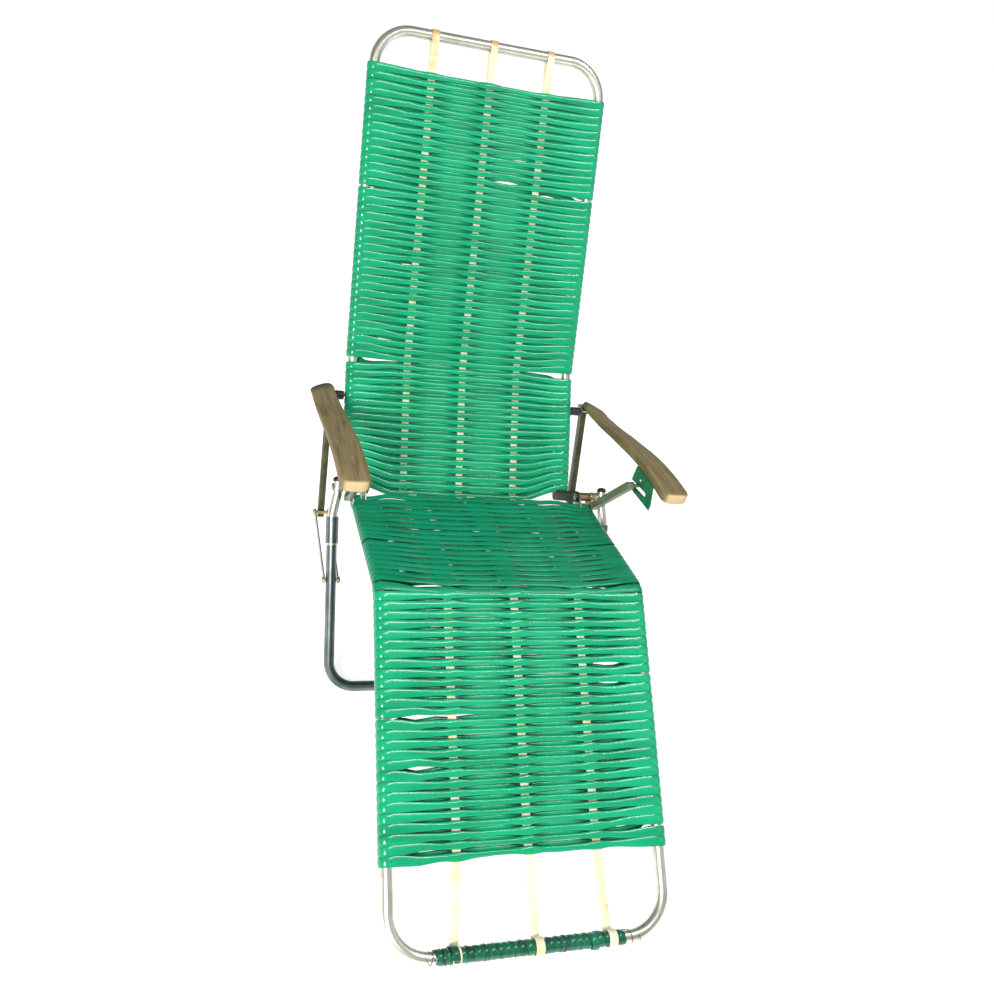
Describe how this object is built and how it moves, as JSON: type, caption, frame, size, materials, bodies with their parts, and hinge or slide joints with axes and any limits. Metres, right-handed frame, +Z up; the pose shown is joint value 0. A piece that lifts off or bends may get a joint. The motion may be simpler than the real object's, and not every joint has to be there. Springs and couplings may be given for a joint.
{
  "type": "folding lounge chair",
  "caption": "Folding reclining lounge chair of bent aluminium tube wound with green vinyl cord, with cream straps, curved wooden armrests, notched recline brackets and folding legs.",
  "frame": {"origin": "on the ground under the middle of the chair's outline", "axes": "+Z up, +Y from the footrest towards the back, X across the chair"},
  "size_m": [0.71, 1.4876, 1.1056],
  "materials": {
    "tube": "bare drawn tube, lightly oxidised",
    "cord": "glossy green vinyl cord, flattened",
    "strap": "woven cotton tape, cream, soiled",
    "wood": "weathered bare hardwood",
    "green_steel": "dark green enamel, chipped",
    "olive_steel": "dark olive enamel, worn",
    "black_steel": "black enamel",
    "black_plastic": "black moulded plastic",
    "brass": "dull brass, dirty",
    "steel": "plated steel, worn, rust spots"
  },
  "bodies": {
    "seat": {"seat_frame_tube": "tube", "hip_plate_inner_left": "steel", "hip_plate_outer_left": "steel", "hip_spacer_left": "brass", "hip_hex_spacer_left": "brass", "hip_bolt_left": "steel", "rear_leg_bolt_left": "steel", "arm_link_left": "green_steel", "hip_plate_inner_right": "steel", "hip_plate_outer_right": "steel", "hip_spacer_right": "brass", "hip_hex_spacer_right": "brass", "hip_bolt_right": "steel", "rear_leg_bolt_right": "steel", "arm_link_right": "green_steel", "knee_cross_bar": "tube", "winding_seat": "cord", "winding_footrest": "cord", "end_bar_wrap": "cord", "seat_strap_left": "strap", "seat_strap_centre": "strap", "seat_strap_right": "strap"},
    "back": {"back_frame_tube": "tube", "back_lug_left": "black_steel", "arm_pivot_bolt_left": "steel", "arm_pivot_spacer_left": "black_plastic", "back_lug_right": "black_steel", "arm_pivot_bolt_right": "steel", "arm_pivot_spacer_right": "black_plastic", "winding_lower_back": "cord", "winding_upper_back": "cord", "back_strap_left": "strap", "back_strap_centre": "strap", "back_strap_right": "strap"},
    "front_leg": {"front_leg_tube": "tube", "leg_upper_tube_left": "tube", "leg_sleeve_left": "tube", "leg_end_cap_left": "black_plastic", "leg_pin_left": "brass", "leg_upper_tube_right": "tube", "leg_sleeve_right": "tube", "leg_end_cap_right": "black_plastic", "leg_pin_right": "brass"},
    "rear_leg": {"rear_leg_tube": "tube"},
    "arm_left": {"armrest_left": "wood", "arm_rear_bracket_left": "steel", "arm_notched_bracket_left": "green_steel", "bracket_bolt_left": "steel"},
    "stay_left": {"stay_strut_left": "olive_steel"},
    "brace_left": {"brace_bar_inner_left": "steel", "brace_bar_outer_left": "steel", "elbow_pin_left": "brass"},
    "arm_right": {"armrest_right": "wood", "arm_rear_bracket_right": "steel", "arm_notched_bracket_right": "green_steel", "bracket_bolt_right": "steel"},
    "stay_right": {"stay_strut_right": "olive_steel"},
    "brace_right": {"brace_bar_inner_right": "steel", "brace_bar_outer_right": "steel", "elbow_pin_right": "brass"}
  },
  "joints": [
    {"name": "back_hinge", "type": "hinge", "parent": "seat", "child": "back", "pos_m": [0, 0.12064, 0.3525], "axis": [1, 0, 0], "range_deg": [-28, 105]},
    {"name": "arm_left_hinge", "type": "hinge", "parent": "back", "child": "arm_left", "pos_m": [0, 0.35542, 0.42089], "axis": [1, 0, 0], "range_deg": [-46.5, 12.5]},
    {"name": "arm_right_hinge", "type": "hinge", "parent": "back", "child": "arm_right", "pos_m": [0, 0.35542, 0.42089], "axis": [1, 0, 0], "range_deg": [-46.5, 12.5]},
    {"name": "stay_left_hinge", "type": "hinge", "parent": "back", "child": "stay_left", "pos_m": [0, 0.35542, 0.42089], "axis": [1, 0, 0], "range_deg": [-41.2, 11.2]},
    {"name": "stay_right_hinge", "type": "hinge", "parent": "back", "child": "stay_right", "pos_m": [0, 0.35542, 0.42089], "axis": [1, 0, 0], "range_deg": [-41.2, 11.2]},
    {"name": "front_leg_hinge", "type": "hinge", "parent": "seat", "child": "front_leg", "pos_m": [0, 0.12064, 0.3525], "axis": [1, 0, 0], "range_deg": [-37, 0]},
    {"name": "rear_leg_hinge", "type": "hinge", "parent": "seat", "child": "rear_leg", "pos_m": [0, 0.09064, 0.3025], "axis": [1, 0, 0], "range_deg": [-115.2, 0.5]},
    {"name": "brace_left_hinge", "type": "hinge", "parent": "front_leg", "child": "brace_left", "pos_m": [0, 0.00771, 0.19476], "axis": [1, 0, 0], "range_deg": [-0.5, 30.1]},
    {"name": "brace_right_hinge", "type": "hinge", "parent": "front_leg", "child": "brace_right", "pos_m": [0, 0.00771, 0.19476], "axis": [1, 0, 0], "range_deg": [-0.5, 30.1]}
  ],
  "couplings": [
    {"joint": "arm_left_hinge", "follows": "back_hinge", "ratio": -0.44},
    {"joint": "arm_right_hinge", "follows": "back_hinge", "ratio": -0.44},
    {"joint": "stay_left_hinge", "follows": "back_hinge", "ratio": -0.39},
    {"joint": "stay_right_hinge", "follows": "back_hinge", "ratio": -0.39},
    {"joint": "rear_leg_hinge", "follows": "front_leg_hinge", "ratio": 3.1},
    {"joint": "brace_left_hinge", "follows": "front_leg_hinge", "ratio": -0.8},
    {"joint": "brace_right_hinge", "follows": "front_leg_hinge", "ratio": -0.8}
  ]
}
